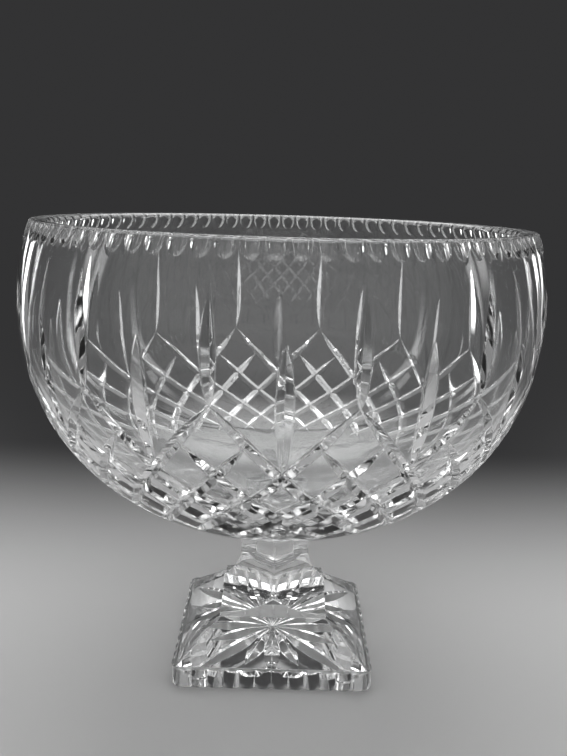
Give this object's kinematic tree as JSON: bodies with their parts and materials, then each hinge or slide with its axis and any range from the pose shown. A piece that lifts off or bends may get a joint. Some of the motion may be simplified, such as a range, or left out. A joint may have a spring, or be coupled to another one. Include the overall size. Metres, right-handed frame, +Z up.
{
  "type": "footed bowl",
  "caption": "Deep round cut-glass bowl with leaf and diamond cuts and a scalloped rim, standing on a square fluted pedestal foot, for serving, fruit or display.",
  "frame": {"origin": "middle of the foot's underside, on the surface that the bowl stands on", "axes": "+Z up along the bowl's axis; -Y is the front, square to one side of the foot; +X to the right seen from the front"},
  "size_m": [0.3046, 0.3048, 0.2695],
  "materials": {
    "bowl_crystal": "colourless crystal, polished, with polished cuts",
    "clear_adhesive": "clear cured adhesive film",
    "foot_crystal": "colourless crystal, moulded and polished, with a cut star underneath"
  },
  "bodies": {
    "root": {"bowl": "bowl_crystal", "bond_film": "clear_adhesive", "foot": "foot_crystal"}
  },
  "joints": []
}
